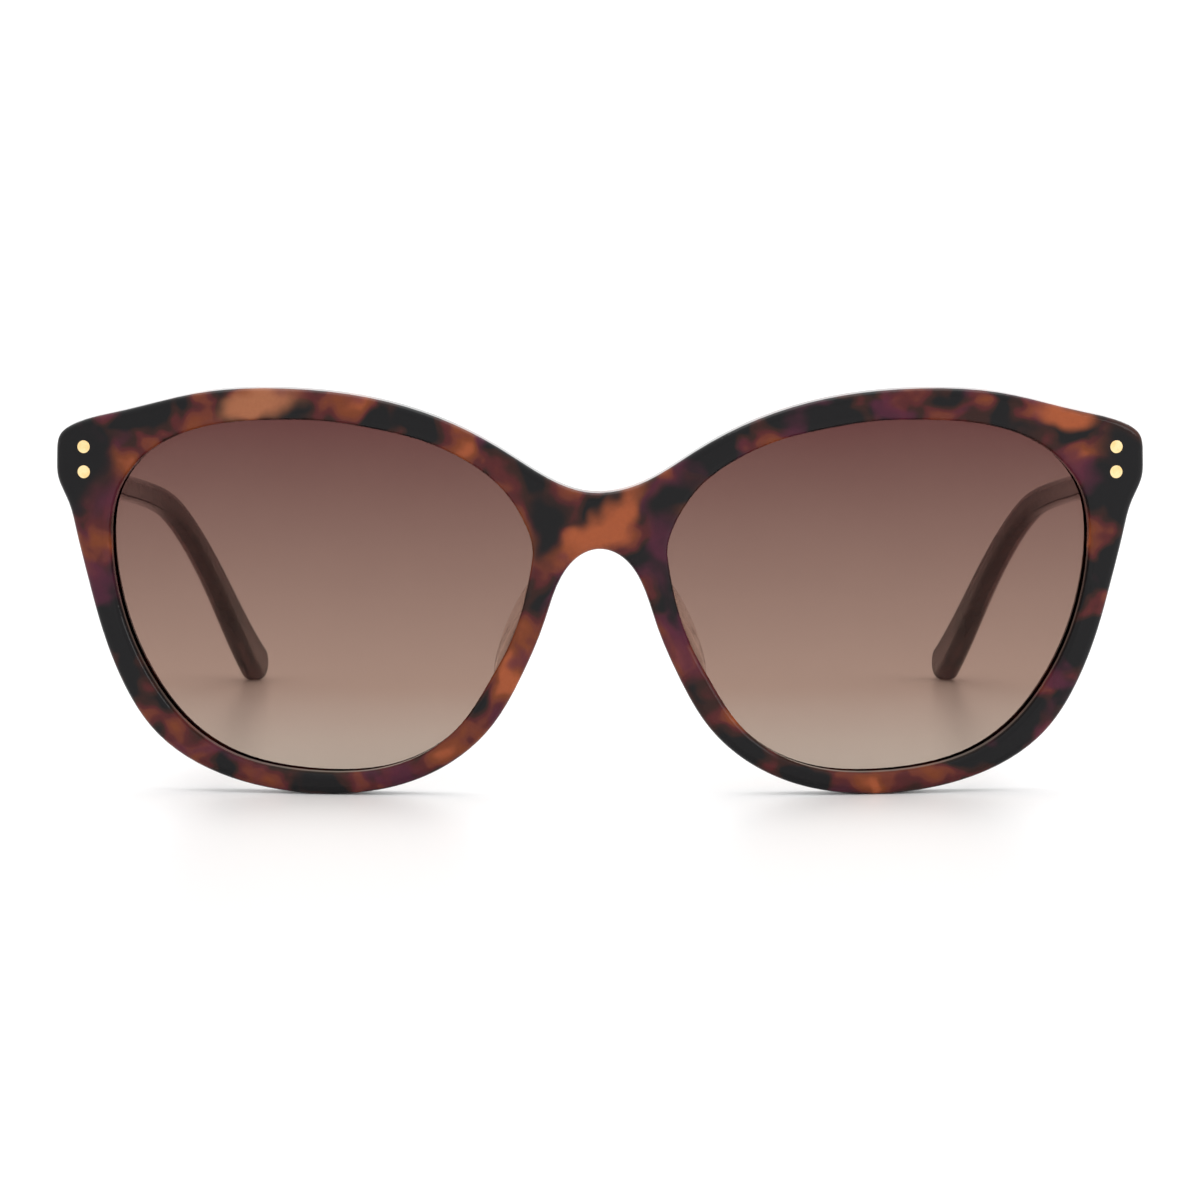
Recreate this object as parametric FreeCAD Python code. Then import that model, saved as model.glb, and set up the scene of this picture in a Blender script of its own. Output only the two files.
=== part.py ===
"""Cat-eye sunglasses with an acetate front, two riveted five-knuckle hinges and two wire-cored temples.

Millimetres. +X is the wearer's left, the front faces -Y, +Z is up.  The glasses stand open on a surface,
on the bottoms of both rims and on both temple tips; the origin is the middle of that footprint.
Every piece of the wearer's left side is modelled at +X, and its twin on the right is its mirror image.
"""
import FreeCAD, Part
import math
import os

from FreeCAD import Vector

# ---- driving dimensions ------------------------------------------------------------------------------
# front
FRONT_RADIUS = 300.0         # wrap of the front face, seen from above
FRONT_THICKNESS = 4.6
EDGE_ROUND_FRONT = 1.0       # outer edge, front side
EDGE_ROUND_REAR = 0.5
RIM_ROUND_FRONT = 0.85       # lens opening, front side
RIM_ROUND_REAR = 0.35
# lenses
LENS_RADIUS = 131.0          # base 4 curve
LENS_THICKNESS = 1.8
LENS_CENTRE_X = 36.5
LENS_CENTRE_Z = 26.1
LENS_SEAT_DEPTH = 0.15       # how far the lens's apex lies behind the front face
GROOVE_DEPTH = 0.55
GROOVE_PLAY = 0.03
# hinges
HINGE_X = 66.0               # where the plate touches the rear of the end piece
HINGE_Z = 43.6
KNUCKLE_RADIUS = 1.45
KNUCKLE_HEIGHT = 1.1
KNUCKLE_GAP = 0.05
KNUCKLES = 5
AXIS_STAND_OFF = 1.7         # hinge axis behind the plate
PLATE_THICKNESS = 0.9
PLATE_HEIGHT = 5.7
PLATE_INNER = 2.6            # plate's reach towards the lens
PLATE_OUTER = 3.2            # plate's reach towards the temple
SCREW_RADIUS = 0.7
SCREW_PLAY = 0.04
SCREW_HEAD_RADIUS = 1.15
SCREW_HEAD_HEIGHT = 0.5
RIVET_SPACING = 3.3
RIVET_HEAD_RADIUS = 0.85
RIVET_HEAD_DEPTH = 0.5
RIVET_SHANK_RADIUS = 0.6
RIVET_PROUD = 0.06
FRONT_RIVET_OFFSET = 0.8    # from the hinge axis towards the temple, along the plate
# temples
TEMPLE_LENGTH = 132.0        # hinge to tip, along the two straight stretches
STRAIGHT_LENGTH = 86.4       # hinge to the corner of the ear bend
EAR_BEND = 31.0              # degrees
EAR_BEND_RADIUS = 30.0
TEMPLE_DROP = 8.95            # degrees below level, hinge to ear bend
TEMPLE_X = 69.5              # middle of the temple's thickness at the hinge
BUTT_THICKNESS = 4.0
TEMPLE_THICKNESS = 3.1
TIP_THICKNESS = 3.5           # near the end of the hook
TEMPLE_ROUND = 1.1
TIP_RADIUS = 2.7
BUTT_PLAY = 0.08             # between the temple's end and the end piece
TEMPLE_PLATE_THICKNESS = 0.8
TEMPLE_PLATE_LENGTH = 9.0
TEMPLE_RIVET_BACK = 5.4      # from the temple's front end
CORE_THICKNESS = 1.0
CORE_HALF_HEIGHT = 0.85
CORE_START = 1.2
CORE_END = 121.5
CORE_POINT = 6.0             # length of the core's pointed end
# nose pads
PAD_HALF_LENGTH = 8.2
PAD_PROTRUSION = 4.9
PAD_HALF_THICKNESS = 1.5
PAD_LEAN = 24.0              # degrees, along the side of the nose
PAD_FLARE = 19.0             # degrees, opening towards the face
PAD_CENTRE = (10.1, 21.8)

REAR_RADIUS = FRONT_RADIUS - FRONT_THICKNESS
RIGHT = Vector(1, 0, 0)
UP = Vector(0, 0, 1)
BIG = 200.0


# ---- outlines ----------------------------------------------------------------------------------------
# Half of the front's outline, seen from the front: the brow from the middle of the bridge to the end piece,
# down the end piece, round the bottom of the rim and up the side of the nose.
OUTLINE = [(0, 39.75), (6.2, 41.35), (12.5, 45.2), (20.8, 49.4), (30.5, 52.15), (41.8, 53.2), (53, 52.4),
           (63.0, 49.95), (69.1, 48.2), (70.95, 46.85), (71.45, 43.9), (71.35, 41.3), (69.95, 37.9),
           (69.0, 34.4), (67.5, 28.2), (65.5, 20.9), (62.75, 14.0), (58.6, 7.8), (52.2, 3.3), (43.5, 0.6),
           (33.5, 0), (25.0, 1.6), (18.7, 4.8), (14.3, 8.9), (10.35, 15.5), (7.3, 22.7), (4.9, 29.0),
           (2.7, 31.5), (0, 32.4)]
# The lens opening's edge on the front face.
OPENING = [(8.95, 31.2), (9.7, 26.9), (11.8, 20.2), (14.5, 15.15), (18.1, 9.6), (23.2, 5.45),
           (29.4, 3.25), (35.7, 2.8), (41.95, 3.3), (48.6, 5.1), (54.4, 8.9), (58.5, 13.9),
           (61.65, 19.9), (63.65, 26.6), (64.4, 34.0), (63.5, 39.4), (61.5, 42.6), (58.6, 45.2),
           (53.9, 47.5), (48.45, 48.7), (41.65, 49.1), (35.7, 48.95), (30.05, 48.1), (24.3, 46.8),
           (18.3, 44.3), (12.85, 40.2), (10.2, 36.3)]


def interpolate(points):
    """A spline edge through 3-D points."""
    curve = Part.BSplineCurve()
    curve.interpolate(Points=points)
    return curve.toShape()


def closed_wire(points, split):
    """A smooth closed wire through points, made of two edges that meet at the first point and at split."""
    curve = Part.BSplineCurve()
    curve.interpolate(Points=points, PeriodicFlag=True)
    middle_value = curve.parameter(points[split])
    first, last = curve.FirstParameter, curve.LastParameter
    return Part.Wire([curve.toShape(first, middle_value), curve.toShape(middle_value, last)])


def grown(points, distance):
    """A closed outline, listed clockwise as seen from the front, pushed outwards by a distance."""
    pushed = []
    for index, (x, z) in enumerate(points):
        before = points[index - 1]
        after = points[(index + 1) % len(points)]
        dx, dz = after[0] - before[0], after[1] - before[1]
        length = math.hypot(dx, dz)
        pushed.append((x + dz / length * distance, z - dx / length * distance))
    return pushed


def seen_from_front(points, y=0.0):
    return [Vector(x, y, z) for x, z in points]


def mirrored(shape):
    return shape.mirror(Vector(0, 0, 0), RIGHT)


def moved(shape, offset):
    copy = shape.copy()
    copy.translate(offset)
    return copy


def box(x, y, z):
    """A box between two limits on each axis."""
    return Part.makeBox(x[1] - x[0], y[1] - y[0], z[1] - z[0], Vector(x[0], y[0], z[0]))


def middle(edge):
    return edge.valueAt((edge.FirstParameter + edge.LastParameter) / 2)


# ---- the front ---------------------------------------------------------------------------------------
def wrap_depth(x, radius=FRONT_RADIUS):
    """How far behind the bridge's foremost line a wrapped surface lies at x."""
    return FRONT_RADIUS - math.sqrt(radius ** 2 - x ** 2)


def wrap_cylinder(radius):
    return Part.makeCylinder(radius, BIG, Vector(0, FRONT_RADIUS, -BIG / 2), UP)


def wrap_distance(point):
    """Distance of a point from the wrap's vertical axis."""
    return math.hypot(point.x, point.y - FRONT_RADIUS)


def front_blank():
    """The curved plate with its outer edges rounded, before the lens openings."""
    other = [(-x, z) for x, z in reversed(OUTLINE) if x > 0]
    wire = closed_wire(seen_from_front(OUTLINE + other), len(OUTLINE) - 1)
    prism = moved(Part.Face(wire), Vector(0, -5, 0)).extrude(Vector(0, 50, 0))
    shell = wrap_cylinder(FRONT_RADIUS).cut(wrap_cylinder(REAR_RADIUS))
    plate = prism.common(shell).Solids[0]
    for radius, size in ((FRONT_RADIUS, EDGE_ROUND_FRONT), (REAR_RADIUS, EDGE_ROUND_REAR)):
        edges = [e for e in plate.Edges if abs(wrap_distance(middle(e)) - radius) < 1e-3]
        plate = plate.makeFillet(size, edges)
    return plate.Solids[0]


LENS_TILT = math.asin(LENS_CENTRE_X / FRONT_RADIUS)
LENS_BACKWARDS = Vector(-math.sin(LENS_TILT), math.cos(LENS_TILT), 0)


def opening_prism(grow=0.0):
    """The lens opening as a prism along the lens's own axis, grown outwards all round by grow."""
    reference = wrap_depth(LENS_CENTRE_X)
    points = [(x + math.tan(LENS_TILT) * (wrap_depth(x) - reference), z) for x, z in OPENING]
    if grow:
        points = grown(points, grow)
    wire = closed_wire(seen_from_front(points, reference), len(points) // 2)
    start = moved(Part.Face(wire), LENS_BACKWARDS * -12)
    return start.extrude(LENS_BACKWARDS * 30)


def lens_blank(play=0.0):
    """A spherical shell of lens, cut to the opening plus what sits in the groove."""
    apex = Vector(LENS_CENTRE_X, wrap_depth(LENS_CENTRE_X), LENS_CENTRE_Z) + LENS_BACKWARDS * LENS_SEAT_DEPTH
    centre = apex + LENS_BACKWARDS * LENS_RADIUS
    outer = Part.makeSphere(LENS_RADIUS + play, centre)
    inner = Part.makeSphere(LENS_RADIUS - LENS_THICKNESS - play, centre)
    disc = opening_prism(GROOVE_DEPTH + play)
    near = disc.common(box((0, 80), (-5, 30), (-10, 70)))
    return near.common(outer).cut(inner).Solids[0]


def cut_lens_opening(front, prism):
    """Cuts one opening and rounds its front and rear edges."""
    front = front.cut(prism).Solids[0]
    wall = Part.Shell(prism.Faces)
    for radius, size in ((FRONT_RADIUS, RIM_ROUND_FRONT), (REAR_RADIUS, RIM_ROUND_REAR)):
        edges = [e for e in front.Edges
                 if abs(wrap_distance(middle(e)) - radius) < 1e-3
                 and wall.distToShape(Part.Vertex(middle(e)))[0] < 1e-3]
        front = front.makeFillet(size, edges)
    return front.Solids[0]


# ---- the hinge's own frame ---------------------------------------------------------------------------
PLATE_ANGLE = math.asin(HINGE_X / REAR_RADIUS)
ALONG_PLATE = Vector(math.cos(PLATE_ANGLE), math.sin(PLATE_ANGLE), 0)
OFF_PLATE = Vector(-math.sin(PLATE_ANGLE), math.cos(PLATE_ANGLE), 0)
PLATE_ORIGIN = Vector(HINGE_X, wrap_depth(HINGE_X, REAR_RADIUS), HINGE_Z)
HINGE_AXIS = PLATE_ORIGIN + OFF_PLATE * AXIS_STAND_OFF
BARREL_HEIGHT = KNUCKLES * KNUCKLE_HEIGHT + (KNUCKLES - 1) * KNUCKLE_GAP
BARREL_FOOT = HINGE_Z - BARREL_HEIGHT / 2


def on_plate(along, off, up):
    """A box given along the plate, off its rear face and up from the hinge's middle."""
    block = box(along, off, up)
    block.rotate(Vector(0, 0, 0), UP, math.degrees(PLATE_ANGLE))
    block.translate(PLATE_ORIGIN)
    return block


def upright(radius, low, high):
    """A cylinder on the hinge axis."""
    return Part.makeCylinder(radius, high - low, Vector(HINGE_AXIS.x, HINGE_AXIS.y, low), UP)


def knuckle_span(index):
    low = BARREL_FOOT + index * (KNUCKLE_HEIGHT + KNUCKLE_GAP)
    return low, low + KNUCKLE_HEIGHT


def front_plate(extra=0.0):
    height = (-PLATE_HEIGHT / 2, PLATE_HEIGHT / 2)
    return on_plate((-PLATE_INNER, PLATE_OUTER), (-PLATE_THICKNESS, extra), height)


def front_hinge():
    """The plate let into the end piece, with knuckles 1, 3 and 5."""
    leaf = front_plate()
    for index in range(0, KNUCKLES, 2):
        low, high = knuckle_span(index)
        web = on_plate((-KNUCKLE_RADIUS, 1.2), (-0.2, AXIS_STAND_OFF), (low - HINGE_Z, high - HINGE_Z))
        leaf = leaf.fuse(upright(KNUCKLE_RADIUS, low, high)).fuse(web)
    tapped = upright(SCREW_RADIUS, BARREL_FOOT - 1, BARREL_FOOT + KNUCKLE_HEIGHT)
    clear = upright(SCREW_RADIUS + SCREW_PLAY, BARREL_FOOT + KNUCKLE_HEIGHT, BARREL_FOOT + BARREL_HEIGHT + 1)
    leaf = leaf.cut(tapped).cut(clear)
    for up in (-RIVET_SPACING / 2, RIVET_SPACING / 2):
        leaf = leaf.cut(front_rivet(up))
    return leaf.removeSplitter().Solids[0]


def front_rivet(up):
    """A flat-headed rivet through the end piece and the hinge plate, square to the front face."""
    face = PLATE_ORIGIN + ALONG_PLATE * FRONT_RIVET_OFFSET + UP * up
    tip = face - OFF_PLATE * (FRONT_THICKNESS + RIVET_PROUD)
    head = Part.makeCylinder(RIVET_HEAD_RADIUS, RIVET_HEAD_DEPTH, tip, OFF_PLATE)
    rims = [e for e in head.Edges if middle(e).distanceToPoint(tip) < RIVET_HEAD_RADIUS * 1.01]
    head = head.makeFillet(0.05, rims)
    shank = Part.makeCylinder(RIVET_SHANK_RADIUS, FRONT_THICKNESS + RIVET_PROUD, tip, OFF_PLATE)
    return head.fuse(shank).removeSplitter().Solids[0]


def hinge_screw():
    """A slotted screw from above, gripped by the lowest knuckle."""
    top = BARREL_FOOT + BARREL_HEIGHT
    shank = upright(SCREW_RADIUS, BARREL_FOOT - 0.15, top)
    head = upright(SCREW_HEAD_RADIUS, top, top + SCREW_HEAD_HEIGHT)
    rim = [e for e in head.Edges if middle(e).z > top + SCREW_HEAD_HEIGHT - 0.01]
    head = head.makeFillet(0.2, rim)
    slot = on_plate((-2, 2), (AXIS_STAND_OFF - 0.16, AXIS_STAND_OFF + 0.16), (0, 1))
    slot.translate(Vector(0, 0, top + SCREW_HEAD_HEIGHT - 0.28 - HINGE_Z))
    return shank.fuse(head).cut(slot).removeSplitter().Solids[0]


# ---- the temple, built level with its front end's middle at the origin, then dropped at the hinge ----
BUTT_Y = wrap_depth(TEMPLE_X, REAR_RADIUS)
BEND = math.radians(EAR_BEND)
BEND_START = STRAIGHT_LENGTH - EAR_BEND_RADIUS * math.tan(BEND / 2)
BEND_ARC = EAR_BEND_RADIUS * BEND
CENTRE_LENGTH = BEND_START + BEND_ARC + (TEMPLE_LENGTH - STRAIGHT_LENGTH) - (STRAIGHT_LENGTH - BEND_START)
# middle of the temple's thickness, seen from above: distance behind the hinge, then x
BOW = [(-8, 69.5), (12, 69.6), (32, 69.3), (50, 68.5), (63, 67.3), (78, 65.0), (88, 62.4), (95, 60.2),
       (109, 56.2), (123, 52.6), (134, 50.0)]
# half of the temple's height, seen from the side: distance along its middle, then half-height
TAPER = [(-8, 3.2), (6, 3.15), (24, 2.5), (45, 1.9), (68, 1.7), (90, 1.8), (108, 2.05), (128, 2.75)]


def between(table, at):
    """Smoothly read a table of (position, value) pairs."""
    for (a, va), (b, vb) in zip(table, table[1:]):
        if at <= b:
            share = max(0.0, (at - a) / (b - a))
            share = share * share * (3 - 2 * share)
            return va + (vb - va) * share
    return table[-1][1]


def centre_line(along):
    """Point and upward normal of the temple's middle line in side view, as (y, z) pairs."""
    if along <= BEND_START:
        return (along, 0.0), (0.0, 1.0)
    turned = min(along - BEND_START, BEND_ARC) / EAR_BEND_RADIUS
    past = max(0.0, along - BEND_START - BEND_ARC)
    y = BEND_START + EAR_BEND_RADIUS * math.sin(turned) + past * math.cos(turned)
    z = -EAR_BEND_RADIUS * (1 - math.cos(turned)) - past * math.sin(turned)
    return (y, z), (math.sin(turned), math.cos(turned))


def side_points(stations, half_height, sign):
    points = []
    for along in stations:
        (y, z), (ny, nz) = centre_line(along)
        height = half_height(along) * sign
        points.append(Vector(0, y + ny * height, z + nz * height))
    return points


def side_profile(top, bottom, end_edges):
    front = Part.makeLine(bottom[0], top[0])
    edges = [interpolate(top), interpolate(bottom), front] + end_edges
    face = Part.Face(Part.Wire(Part.sortEdges(edges)[0]))
    return face.extrude(Vector(BIG / 2, 0, 0))


def plan_band(thickness):
    """The temple's bow seen from above, as a band of the given thickness, tall enough for the ear bend."""
    inner, outer = [], []
    for y, x in BOW:
        half = thickness(y) / 2
        inner.append(Vector(x - half, y, -60))
        outer.append(Vector(x + half, y, -60))
    edges = [interpolate(inner), interpolate(outer)]
    edges += [Part.makeLine(inner[0], outer[0]), Part.makeLine(inner[-1], outer[-1])]
    face = Part.Face(Part.Wire(Part.sortEdges(edges)[0]))
    return face.extrude(Vector(0, 0, 90))


def temple_thickness(y):
    stops = [
        (-8, BUTT_THICKNESS),
        (12, BUTT_THICKNESS),
        (45, TEMPLE_THICKNESS),
        (100, TEMPLE_THICKNESS),
        (128, TIP_THICKNESS),
    ]
    return between(stops, y)


def temple_bar():
    """The whole temple bar with rounded edges, before the hinge, core and rivets are let in."""
    last = CENTRE_LENGTH - TIP_RADIUS
    bend = [BEND_START, BEND_START + BEND_ARC / 2, BEND_START + BEND_ARC]
    stations = [-7, 2, 12, 24, 40, 58] + bend + [108, last]
    half = lambda along: TIP_RADIUS if along == last else between(TAPER, along)
    top = side_points(stations, half, 1)
    bottom = side_points(stations, half, -1)
    (y, z), (ny, nz) = centre_line(CENTRE_LENGTH)
    end = Part.Arc(top[-1], Vector(0, y, z), bottom[-1]).toShape()
    bar = side_profile(top, bottom, [end]).common(plan_band(temple_thickness)).Solids[0]
    return bar.makeFillet(TEMPLE_ROUND, [e for e in bar.Edges if middle(e).y > -6.5])


def core_bar():
    """The flat wire inside the temple, ending in a point."""
    full = CORE_END - CORE_POINT
    stations = [-7, 12, 30, 58, BEND_START, BEND_START + BEND_ARC / 2, BEND_START + BEND_ARC, full]
    half = lambda along: CORE_HALF_HEIGHT
    top = side_points(stations, half, 1)
    bottom = side_points(stations, half, -1)
    (y, z), normal = centre_line(CORE_END)
    point = Vector(0, y, z)
    ends = [Part.makeLine(top[-1], point), Part.makeLine(point, bottom[-1])]
    wire = side_profile(top, bottom, ends).common(plan_band(lambda y: CORE_THICKNESS))
    return wire.cut(box((40, 90), (-20, CORE_START), (-10, 10))).Solids[0]


def temple_rivet(up):
    """A rivet through the temple and its hinge plate, head on the outside."""
    outer = TEMPLE_X + BUTT_THICKNESS / 2
    inner = TEMPLE_X - BUTT_THICKNESS / 2
    tip = Vector(outer + RIVET_PROUD, TEMPLE_RIVET_BACK, up)
    inwards = Vector(-1, 0, 0)
    head = Part.makeCylinder(RIVET_HEAD_RADIUS, RIVET_HEAD_DEPTH, tip, inwards)
    rims = [e for e in head.Edges if middle(e).distanceToPoint(tip) < RIVET_HEAD_RADIUS * 1.01]
    head = head.makeFillet(0.05, rims)
    shank = Part.makeCylinder(RIVET_SHANK_RADIUS, outer + RIVET_PROUD - inner, tip, inwards)
    return head.fuse(shank).removeSplitter().Solids[0]


def temple_plate(front, thick=TEMPLE_PLATE_THICKNESS, beyond=0.0):
    inner = TEMPLE_X - BUTT_THICKNESS / 2
    height = (-PLATE_HEIGHT / 2, PLATE_HEIGHT / 2)
    return box((inner - beyond, inner + thick), (front, TEMPLE_PLATE_LENGTH), height)


def dropped(shape):
    """Takes a level temple piece to its place: tilted down at the hinge."""
    copy = shape.copy()
    copy.rotate(Vector(0, 0, 0), RIGHT, -TEMPLE_DROP)
    copy.translate(Vector(0, BUTT_Y, HINGE_Z))
    return copy


def temple_pieces():
    rivets = {"upper": temple_rivet(RIVET_SPACING / 2), "lower": temple_rivet(-RIVET_SPACING / 2)}
    core = core_bar()
    bar = temple_bar().cut(temple_plate(-9, beyond=3)).cut(core)
    leaf = temple_plate(0.25)
    for rivet in rivets.values():
        bar = bar.cut(rivet)
        leaf = leaf.cut(rivet)
    temple = dropped(bar).common(wrap_cylinder(REAR_RADIUS - BUTT_PLAY)).Solids[0]
    leaf = dropped(leaf)
    inner = TEMPLE_X - BUTT_THICKNESS / 2
    for index in range(1, KNUCKLES, 2):
        low, high = knuckle_span(index)
        depth = (HINGE_AXIS.y - 0.35, HINGE_AXIS.y + KNUCKLE_RADIUS)
        web = box((HINGE_AXIS.x, inner + 0.5), depth, (low, high))
        leaf = leaf.fuse(upright(KNUCKLE_RADIUS, low, high)).fuse(web)
    leaf = leaf.cut(upright(SCREW_RADIUS + SCREW_PLAY, BARREL_FOOT - 1, BARREL_FOOT + BARREL_HEIGHT + 1))
    made = {"temple": temple, "temple_hinge": leaf.removeSplitter().Solids[0], "temple_core": dropped(core)}
    for place, rivet in rivets.items():
        made["temple_rivet_" + place] = dropped(rivet)
    return made


# ---- nose pads ---------------------------------------------------------------------------------------
def nose_pad():
    """A pad glued to the back of the rim beside the nose, flaring towards the face."""
    x, z = PAD_CENTRE
    stretch = FreeCAD.Matrix()
    stretch.scale(PAD_HALF_THICKNESS, PAD_PROTRUSION, PAD_HALF_LENGTH)
    pad = Part.makeSphere(1).transformGeometry(stretch)
    pad.rotate(Vector(0, 0, 0), UP, -PAD_FLARE)
    pad.rotate(Vector(0, 0, 0), Vector(0, 1, 0), -PAD_LEAN)
    pad.translate(Vector(x, wrap_depth(x, REAR_RADIUS), z))
    return pad.common(wrap_cylinder(REAR_RADIUS)).Solids[0]


# ---- assembly ----------------------------------------------------------------------------------------
def left_side():
    """Every piece of the wearer's left side, by name, in place."""
    made = {"lens": lens_blank(), "nose_pad": nose_pad()}
    made["front_hinge"] = front_hinge()
    made["hinge_screw"] = hinge_screw()
    made["front_rivet_upper"] = front_rivet(RIVET_SPACING / 2)
    made["front_rivet_lower"] = front_rivet(-RIVET_SPACING / 2)
    made.update(temple_pieces())
    return made


def front_frame(left):
    """The acetate front, with both lens openings, grooves, hinge pockets and rivet holes."""
    opening = opening_prism()
    pocket = front_plate(extra=2)
    groove = lens_blank(GROOVE_PLAY)
    frame = front_blank()
    for flip in (lambda s: s, mirrored):
        frame = cut_lens_opening(frame, flip(opening))
        frame = frame.cut(flip(groove)).cut(flip(pocket))
        for place in ("upper", "lower"):
            frame = frame.cut(flip(left["front_rivet_" + place]))
    return frame.Solids[0]


def build():
    left = left_side()
    pieces = {"front_frame": front_frame(left)}
    for name, shape in left.items():
        pieces[name + "_left"] = shape
        pieces[name + "_right"] = mirrored(shape)
    return pieces


def footprint_shift(pieces):
    """How far to move everything so that the origin is the middle of the footprint."""
    whole = Part.makeCompound(list(pieces.values())).optimalBoundingBox(False)
    return Vector(0, -(whole.YMin + whole.YMax) / 2, -whole.ZMin)


def main():
    os.makedirs("parts", exist_ok=True)
    pieces = build()
    shift = footprint_shift(pieces)
    for name, shape in sorted(pieces.items()):
        shape = moved(shape, shift)
        shape.exportStep(os.path.join("parts", name + ".step"))
        size = shape.BoundBox
        print("%-28s valid %s solids %d volume %9.2f  z %.2f..%.2f" % (
            name, shape.isValid(), len(shape.Solids), shape.Volume, size.ZMin, size.ZMax))
    axis = HINGE_AXIS + shift
    print("shift", tuple(round(v, 4) for v in shift), "hinge axis", tuple(round(v, 4) for v in axis))


if __name__ == "__main__":
    main()
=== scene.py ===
"""The looks of the cat-eye sunglasses: tortoiseshell, gradient lenses, translucent temples, gold rivets.

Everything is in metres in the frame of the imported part: +X the wearer's left, the front faces -Y, +Z up.
"""

import math

import bpy
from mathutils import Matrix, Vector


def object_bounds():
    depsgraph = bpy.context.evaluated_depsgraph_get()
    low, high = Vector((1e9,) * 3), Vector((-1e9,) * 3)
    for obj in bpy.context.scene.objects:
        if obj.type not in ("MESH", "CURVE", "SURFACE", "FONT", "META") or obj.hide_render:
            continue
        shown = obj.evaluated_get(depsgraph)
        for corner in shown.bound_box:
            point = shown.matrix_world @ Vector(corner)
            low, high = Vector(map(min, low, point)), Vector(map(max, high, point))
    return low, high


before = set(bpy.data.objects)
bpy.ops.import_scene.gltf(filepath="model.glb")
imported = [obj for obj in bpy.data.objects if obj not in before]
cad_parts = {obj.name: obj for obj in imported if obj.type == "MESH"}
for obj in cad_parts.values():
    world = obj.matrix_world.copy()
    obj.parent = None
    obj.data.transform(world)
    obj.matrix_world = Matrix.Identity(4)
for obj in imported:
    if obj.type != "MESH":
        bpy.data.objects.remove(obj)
cad_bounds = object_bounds()

MM = 0.001

# ---- colours, as displayed values from 0 to 1 --------------------------------------------------------
BLACK = (0.075, 0.072, 0.078)
DARK = (0.185, 0.100, 0.085)
MAROON = (0.300, 0.115, 0.120)
BROWN = (0.390, 0.180, 0.130)
RUST = (0.435, 0.210, 0.115)
ORANGE = (0.590, 0.300, 0.175)
AMBER = (0.600, 0.370, 0.255)
PLUM = (0.300, 0.110, 0.190)

# The acetate's cloudy layers, from the darkest to the palest: level of the noise, and the colour there.
LAYERS = [(0.43, BLACK), (0.49, DARK), (0.54, MAROON), (0.59, BROWN), (0.65, RUST), (0.76, ORANGE)]
CLOUD_SIZE = 6.5             # millimetres
CLOUD_OFFSET = (14.0, 3.0, 5.0)
PLUM_SIZE = 9.0
WARP_SIZE = 8.0
WARP_REACH = 4.0
# The few features that catch the eye: x, z of the middle, half-length and half-width in
# millimetres, slope in degrees, and colour.
FEATURES = [
    (-69.0, 43.5, 7.0, 4.5, 80, BLACK),      # end pieces
    (69.0, 43.5, 7.0, 4.5, 80, BLACK),
    (0.5, 36.0, 6.0, 2.2, 45, ORANGE),       # streak across the bridge
    (-6.0, 35.0, 4.0, 2.5, 80, BLACK),       # dark to each side of the streak
    (9.5, 38.5, 4.5, 3.0, 40, BLACK),
    (-45.0, 51.0, 5.0, 2.5, 10, AMBER),      # pale patch in the brow
    (61.0, 49.5, 4.5, 1.8, -15, ORANGE),
]

# The lens's tint by height in millimetres: even at the top, fading towards the bottom.
LENS_TINT = [(0.0, (0.70, 0.65, 0.60)), (14.0, (0.59, 0.49, 0.44)), (50.0, (0.36, 0.22, 0.215))]
LENS_SHINE = 0.0032          # share reflected straight on, as from a coated lens


def linear(colour):
    """A displayed colour as linear light."""
    return tuple(c / 12.92 if c <= 0.04045 else ((c + 0.055) / 1.055) ** 2.4 for c in colour)


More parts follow.
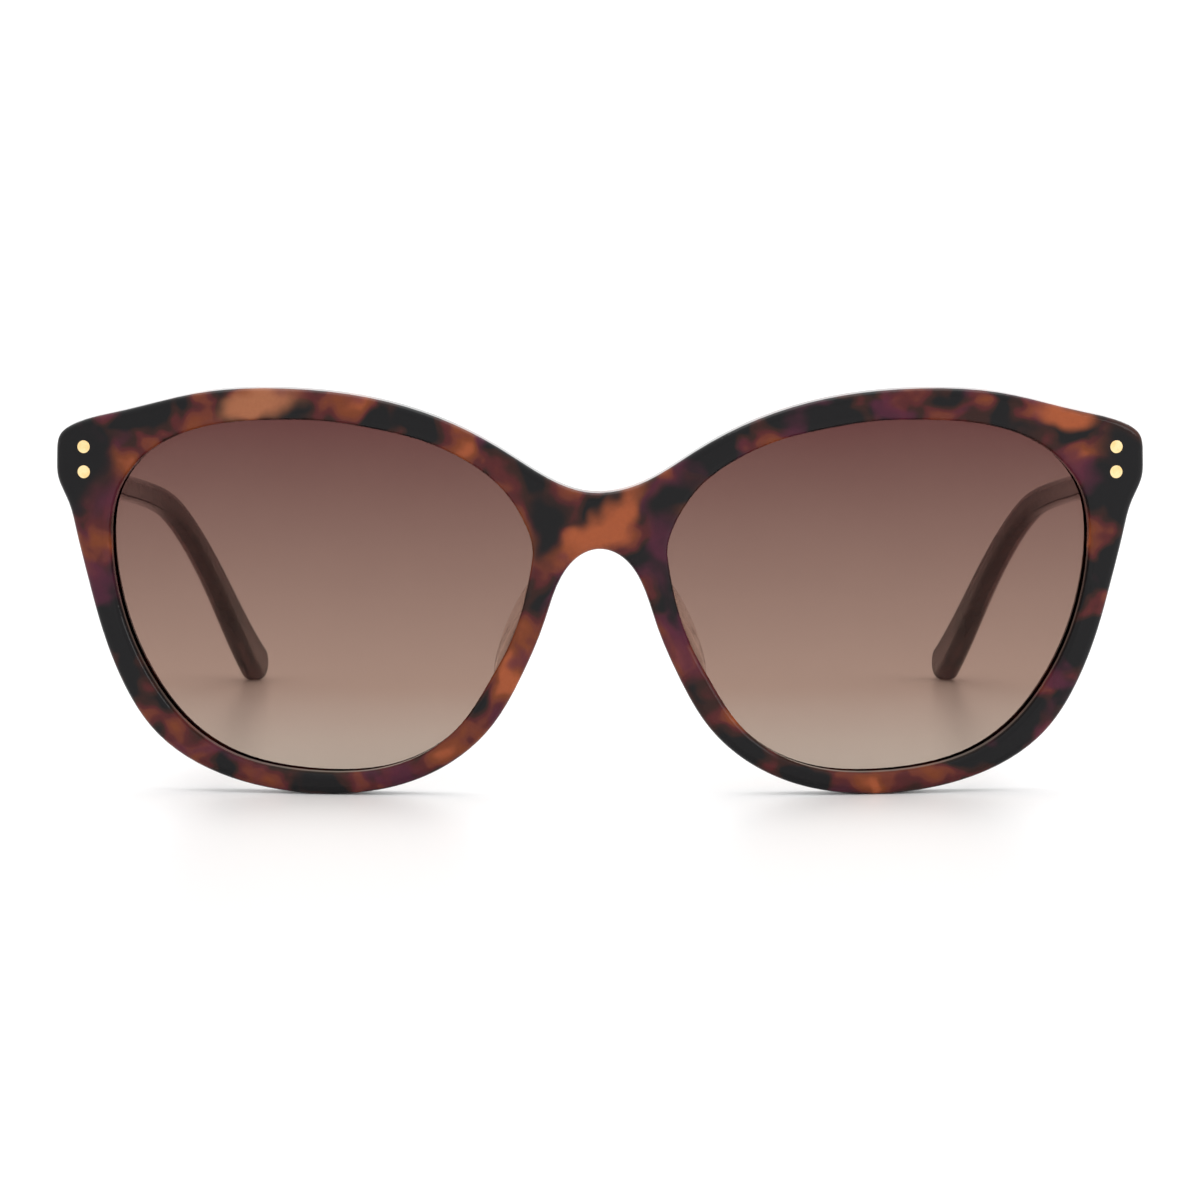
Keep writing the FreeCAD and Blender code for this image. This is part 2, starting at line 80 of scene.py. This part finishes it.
# ---- node helpers ------------------------------------------------------------------------------------
class Nodes:
    """Short calls for building one material's node tree."""

    def __init__(self, name):
        self.material = bpy.data.materials.new(name)
        self.material.use_nodes = True
        self.tree = self.material.node_tree
        self.tree.nodes.clear()
        self.output = self.tree.nodes.new("ShaderNodeOutputMaterial")

    def add(self, kind, inputs=None, **settings):
        node = self.tree.nodes.new(kind)
        for key, value in settings.items():
            setattr(node, key, value)
        for key, value in (inputs or {}).items():
            self.feed(node.inputs[key], value)
        return node

    def feed(self, socket, value):
        if isinstance(value, bpy.types.NodeSocket):
            self.tree.links.new(value, socket)
        elif isinstance(value, tuple) and len(value) == 3 and socket.type == "RGBA":
            socket.default_value = (*value, 1.0)
        else:
            socket.default_value = value

    def math(self, operation, first, second=0.0, third=0.0):
        return self.add("ShaderNodeMath", {0: first, 1: second, 2: third}, operation=operation).outputs[0]

    def vector(self, operation, first, second):
        return self.add("ShaderNodeVectorMath", {0: first, 1: second}, operation=operation).outputs[0]

    def scaled(self, vector, factor):
        return self.add("ShaderNodeVectorMath", {0: vector, 3: factor}, operation="SCALE").outputs[0]

    def place(self):
        """Object coordinates in millimetres."""
        return self.scaled(self.add("ShaderNodeTexCoord").outputs["Object"], 1 / MM)

    def axes(self, vector):
        return self.add("ShaderNodeSeparateXYZ", {0: vector}).outputs

    def grey(self, value):
        return self.add("ShaderNodeCombineXYZ", {0: value, 1: value, 2: value}).outputs[0]

    def noise(self, vector, scale, detail=3.0, roughness=0.55, output="Fac"):
        """Noise with features of about scale millimetres."""
        node = self.add("ShaderNodeTexNoise",
                        {"Vector": vector, "Scale": 1 / scale, "Detail": detail, "Roughness": roughness})
        return node.outputs[output]

    def spread(self, value, low, high, start=0.0, end=1.0, smooth=True):
        """Maps low..high to start..end, clamped."""
        node = self.add("ShaderNodeMapRange",
                        {"Value": value, "From Min": low, "From Max": high, "To Min": start, "To Max": end},
                        interpolation_type="SMOOTHSTEP" if smooth else "LINEAR")
        return node.outputs[0]

    def mix(self, share, first, second, blend="MIX"):
        node = self.add("ShaderNodeMix", data_type="RGBA", blend_type=blend)
        self.feed(node.inputs[0], share)
        self.feed(node.inputs[6], first)
        self.feed(node.inputs[7], second)
        return node.outputs[2]

    def ramp(self, value, stops, interpolation="EASE"):
        """A colour ramp over (position, displayed colour) stops."""
        node = self.add("ShaderNodeValToRGB", {0: value})
        ramp = node.color_ramp
        ramp.interpolation = interpolation
        while len(ramp.elements) > 1:
            ramp.elements.remove(ramp.elements[-1])
        ramp.elements[0].position = stops[0][0]
        ramp.elements[0].color = (*linear(stops[0][1]), 1.0)
        for position, colour in stops[1:]:
            element = ramp.elements.new(position)
            element.color = (*linear(colour), 1.0)
        return node.outputs[0]

    def finish(self, shader):
        self.tree.links.new(shader, self.output.inputs["Surface"])
        return self.material


# ---- tortoiseshell -----------------------------------------------------------------------------------
ACETATE_IOR = 1.49
TORTOISESHELL_SPECULAR = 0.16
FEATURE_EDGE = (0.45, 1.35)  # shares of a feature's size where it starts to fade and where it ends


def feature_share(nodes, x, z, feature):
    """How strongly one soft-edged oval feature covers a place."""
    middle_x, middle_z, along, across, slope = feature[:5]
    cosine, sine = math.cos(math.radians(slope)), math.sin(math.radians(slope))
    dx = nodes.math("SUBTRACT", x, middle_x)
    dz = nodes.math("SUBTRACT", z, middle_z)
    rise = nodes.math("MULTIPLY", dz, sine / along)
    lengthwise = nodes.math("MULTIPLY_ADD", dx, cosine / along, rise)
    fall = nodes.math("MULTIPLY", dx, -sine / across)
    crosswise = nodes.math("MULTIPLY_ADD", dz, cosine / across, fall)
    distance = nodes.math("SQRT", nodes.math("ADD", nodes.math("POWER", lengthwise, 2.0),
                                             nodes.math("POWER", crosswise, 2.0)))
    return nodes.spread(distance, *FEATURE_EDGE, 1.0, 0.0)


def tortoiseshell():
    """Blurred clouds of dark, brown and orange acetate, veined with plum."""
    nodes = Nodes("tortoiseshell_acetate")
    place = nodes.place()
    swirl = nodes.noise(place, WARP_SIZE, 2.0, output="Color")
    bend = nodes.scaled(nodes.vector("SUBTRACT", swirl, (0.5, 0.5, 0.5)), WARP_REACH * 2)
    warped = nodes.vector("ADD", place, bend)
    shifted = nodes.vector("ADD", warped, CLOUD_OFFSET)
    colour = nodes.ramp(nodes.noise(shifted, CLOUD_SIZE, 1.5, 0.5), LAYERS)
    veins = nodes.spread(nodes.noise(warped, PLUM_SIZE, 2.0), 0.52, 0.66, 0.0, 0.75)
    colour = nodes.mix(veins, colour, linear(PLUM))
    warped_x, _, warped_z = nodes.axes(warped)
    for feature in FEATURES:
        share = feature_share(nodes, warped_x, warped_z, feature)
        colour = nodes.mix(share, colour, linear(feature[5]))
    grain = nodes.spread(nodes.noise(place, 0.5, 3.0), 0.2, 0.8, 0.94, 1.06, smooth=False)
    colour = nodes.mix(1.0, colour, nodes.grey(grain), "MULTIPLY")
    polish = nodes.spread(nodes.noise(place, 6.0, 4.0), 0.3, 0.7, 0.05, 0.10)
    bump = nodes.add("ShaderNodeBump", {"Strength": 0.03, "Distance": 0.00004,
                                        "Height": nodes.noise(place, 5.0, 2.0)})
    shader = nodes.add("ShaderNodeBsdfPrincipled",
                       {"Base Color": colour, "Roughness": polish, "Normal": bump.outputs[0]})
    shader.inputs["IOR"].default_value = ACETATE_IOR
    shader.inputs["Specular IOR Level"].default_value = TORTOISESHELL_SPECULAR
    return nodes.finish(shader.outputs[0])


# ---- lenses ------------------------------------------------------------------------------------------
def lens_tint():
    """Brown tint fading downwards. Light crosses two surfaces, so each carries the square root of the tint."""
    nodes = Nodes("gradient_lens")
    place = nodes.place()
    z = nodes.axes(place)[2]
    drift = nodes.math("MULTIPLY_ADD", nodes.noise(place, 14.0, 2.0), 1.6, -0.8)
    height = nodes.math("DIVIDE", nodes.math("ADD", z, drift), LENS_TINT[-1][0])
    stops = [(at / LENS_TINT[-1][0], tint) for at, tint in LENS_TINT]
    tint = nodes.ramp(height, stops, "LINEAR")
    split = nodes.add("ShaderNodeSeparateColor", {0: tint})
    roots = [nodes.math("SQRT", split.outputs[i]) for i in range(3)]
    half = nodes.add("ShaderNodeCombineColor", {0: roots[0], 1: roots[1], 2: roots[2]}).outputs[0]
    clear = nodes.add("ShaderNodeBsdfTransparent", {"Color": half})
    smudge = nodes.spread(nodes.noise(place, 9.0, 4.0), 0.35, 0.75, 0.005, 0.03)
    gloss = nodes.add("ShaderNodeBsdfGlossy", {"Color": (1.0, 0.98, 0.96), "Roughness": smudge})
    # the same reflection from either side of a surface, so that the lens's inner face stays clear
    weight = nodes.add("ShaderNodeLayerWeight")
    weight.inputs["Blend"].default_value = 0.5
    grazing = nodes.math("POWER", weight.outputs["Facing"], 5.0)
    shine = nodes.math("MULTIPLY_ADD", grazing, 1 - LENS_SHINE, LENS_SHINE)
    mixed = nodes.add("ShaderNodeMixShader", {0: shine, 1: clear.outputs[0], 2: gloss.outputs[0]})
    return nodes.finish(mixed.outputs[0])


# ---- translucent acetate -----------------------------------------------------------------------------
DEEPENING_FROM = 38.0        # millimetres along Y where the temples start to deepen
DEEPENING_TO = 62.0
TRANSLUCENT_SPECULAR = 0.40


def translucent_acetate(name, deep, pale, transmission, darkening=1.0):
    """Cloudy see-through acetate with soft streaks along its length, deepening towards the temple's tip."""
    nodes = Nodes(name)
    place = nodes.place()
    stretched = nodes.vector("MULTIPLY", place, (1.0, 0.18, 1.0))
    cloud = nodes.spread(nodes.noise(stretched, 2.6, 1.0, 0.4), 0.15, 0.85)
    colour = nodes.mix(cloud, linear(deep), linear(pale))
    shade = nodes.spread(nodes.axes(place)[1], DEEPENING_FROM, DEEPENING_TO, 1.0, darkening)
    colour = nodes.mix(1.0, colour, nodes.grey(shade), "MULTIPLY")
    polish = nodes.spread(nodes.noise(place, 4.0, 3.0), 0.3, 0.7, 0.02, 0.06)
    shader = nodes.add("ShaderNodeBsdfPrincipled", {"Base Color": colour, "Roughness": polish})
    shader.inputs["IOR"].default_value = ACETATE_IOR
    shader.inputs["Transmission Weight"].default_value = transmission
    shader.inputs["Specular IOR Level"].default_value = TRANSLUCENT_SPECULAR
    return nodes.finish(shader.outputs[0])


# ---- metals ------------------------------------------------------------------------------------------
def metal(name, colour, worn, rough, streak):
    """Metal with fine streaks or turning marks and slightly duller patches."""
    nodes = Nodes(name)
    place = nodes.place()
    stretched = nodes.vector("MULTIPLY", place, streak)
    marks = nodes.noise(stretched, 0.12, 3.0, 0.6)
    patches = nodes.spread(nodes.noise(place, 1.2, 3.0), 0.4, 0.7)
    tone = nodes.mix(patches, linear(colour), linear(worn))
    roughness = nodes.spread(marks, 0.2, 0.8, rough * 0.75, rough * 1.35)
    bump = nodes.add("ShaderNodeBump", {"Strength": 0.15, "Distance": 0.00001, "Height": marks})
    shader = nodes.add("ShaderNodeBsdfPrincipled",
                       {"Base Color": tone, "Roughness": roughness, "Normal": bump.outputs[0]})
    shader.inputs["Metallic"].default_value = 1.0
    return nodes.finish(shader.outputs[0])


def cover(node_names, material):
    """Gives CAD nodes a material."""
    for name in node_names:
        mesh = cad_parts[name].data
        mesh.materials.clear()
        mesh.materials.append(material)


def both(*names):
    return [name + side for name in names for side in ("_left", "_right")]


def dress_frame():
    cover(["front_frame"], tortoiseshell())
    cover(both("lens"), lens_tint())
    mauve = translucent_acetate("temple_acetate", (0.54, 0.42, 0.43), (0.62, 0.49, 0.49), 0.84, 0.40)
    cover(both("temple"), mauve)
    clear = translucent_acetate("pad_acetate", (0.90, 0.86, 0.84), (0.97, 0.94, 0.92), 1.0)
    cover(both("nose_pad"), clear)
    wire = metal("core_wire", (0.50, 0.46, 0.44), (0.40, 0.37, 0.35), 0.35, (1.0, 0.1, 1.0))
    cover(both("temple_core"), wire)
    steel = metal("hinge_steel", (0.72, 0.70, 0.67), (0.58, 0.56, 0.53), 0.28, (1.0, 1.0, 6.0))
    cover(both("front_hinge", "temple_hinge"), steel)
    polished = metal("screw_steel", (0.76, 0.75, 0.73), (0.60, 0.59, 0.57), 0.20, (1.0, 1.0, 5.0))
    cover(both("hinge_screw"), polished)
    gold = metal("rivet_gold", (0.985, 0.865, 0.650), (0.950, 0.810, 0.560), 0.22, (4.0, 1.0, 1.0))
    rivets = both("front_rivet_upper", "front_rivet_lower", "temple_rivet_upper", "temple_rivet_lower")
    cover(rivets, gold)


# ---- studio ------------------------------------------------------------------------------------------
FLOOR_REACH = 40.0
FLOOR_ROUGHNESS = 0.30
FLOOR_SPECULAR = 0.35
SKY_STRENGTH = 1.45
SKY = [(0.0, 1.0), (0.12, 0.72), (0.5, 0.78), (1.0, 0.88)]     # height and share of full brightness
CAMERA_DISTANCE = 0.800      # from the front's foremost line
CAMERA_HEIGHT = 0.110
CAMERA_DOWN = 6.0            # degrees
CAMERA_LENS = 185.1          # millimetres on a 36 mm frame


def floor_material():
    nodes = Nodes("studio_floor")
    tone = nodes.spread(nodes.noise(nodes.place(), 400.0, 2.0), 0.3, 0.7, 0.90, 0.92)
    colour = nodes.add("ShaderNodeCombineColor", {0: tone, 1: tone, 2: tone}).outputs[0]
    shader = nodes.add("ShaderNodeBsdfPrincipled", {"Base Color": colour})
    shader.inputs["Roughness"].default_value = FLOOR_ROUGHNESS
    shader.inputs["Specular IOR Level"].default_value = FLOOR_SPECULAR
    return nodes.finish(shader.outputs[0])


def build_floor():
    mesh = bpy.data.meshes.new("studio_floor")
    reach = FLOOR_REACH
    corners = [(-reach, -reach, 0), (reach, -reach, 0), (reach, reach, 0), (-reach, reach, 0)]
    mesh.from_pydata(corners, [], [(0, 1, 2, 3)])
    floor = bpy.data.objects.new("studio_floor", mesh)
    floor.data.materials.append(floor_material())
    bpy.context.scene.collection.objects.link(floor)


def soft_light(name, place, aim, width, height, power, colour=(1.0, 1.0, 1.0)):
    light = bpy.data.lights.new(name, "AREA")
    light.shape = "RECTANGLE"
    light.size, light.size_y = width, height
    light.energy = power
    light.color = colour
    lamp = bpy.data.objects.new(name, light)
    lamp.location = place
    direction = Vector(aim) - Vector(place)
    lamp.rotation_euler = direction.to_track_quat("-Z", "Y").to_euler()
    bpy.context.scene.collection.objects.link(lamp)


def build_world():
    """A soft surround: brightest at the horizon, dimmer above it."""
    world = bpy.data.worlds.new("studio")
    world.use_nodes = True
    tree = world.node_tree
    tree.nodes.clear()
    coordinates = tree.nodes.new("ShaderNodeTexCoord")
    split = tree.nodes.new("ShaderNodeSeparateXYZ")
    sky = tree.nodes.new("ShaderNodeValToRGB")
    background = tree.nodes.new("ShaderNodeBackground")
    output = tree.nodes.new("ShaderNodeOutputWorld")
    for index, (height, share) in enumerate(SKY):
        stop = sky.color_ramp.elements.new(height) if index > 1 else sky.color_ramp.elements[index]
        stop.position = height
        stop.color = (share, share, share, 1.0)
    background.inputs["Strength"].default_value = SKY_STRENGTH
    tree.links.new(coordinates.outputs["Generated"], split.inputs[0])
    tree.links.new(split.outputs[2], sky.inputs[0])
    tree.links.new(sky.outputs[0], background.inputs["Color"])
    tree.links.new(background.outputs[0], output.inputs["Surface"])
    bpy.context.scene.world = world


def build_studio():
    build_floor()
    build_world()
    soft_light("overhead", (0.0, 0.35, 1.4), (0, 0, 0.02), 1.3, 1.0, 5.0)
    soft_light("key_right", (0.9, -0.5, 0.6), (0, -0.03, 0.02), 0.35, 0.6, 2.2)
    scene = bpy.context.scene
    scene.view_settings.view_transform = "Standard"
    scene.view_settings.look = "None"


def place_camera():
    front = cad_bounds[0][1]
    camera = bpy.data.cameras.new("camera")
    camera.lens = CAMERA_LENS
    camera.sensor_width = 36.0
    camera.clip_start = 0.01
    camera.clip_end = 200.0
    holder = bpy.data.objects.new("camera", camera)
    holder.location = (0.0, front - CAMERA_DISTANCE, CAMERA_HEIGHT)
    holder.rotation_euler = (math.radians(90 - CAMERA_DOWN), 0.0, 0.0)
    bpy.context.scene.collection.objects.link(holder)
    bpy.context.scene.camera = holder


dress_frame()
build_studio()
place_camera()
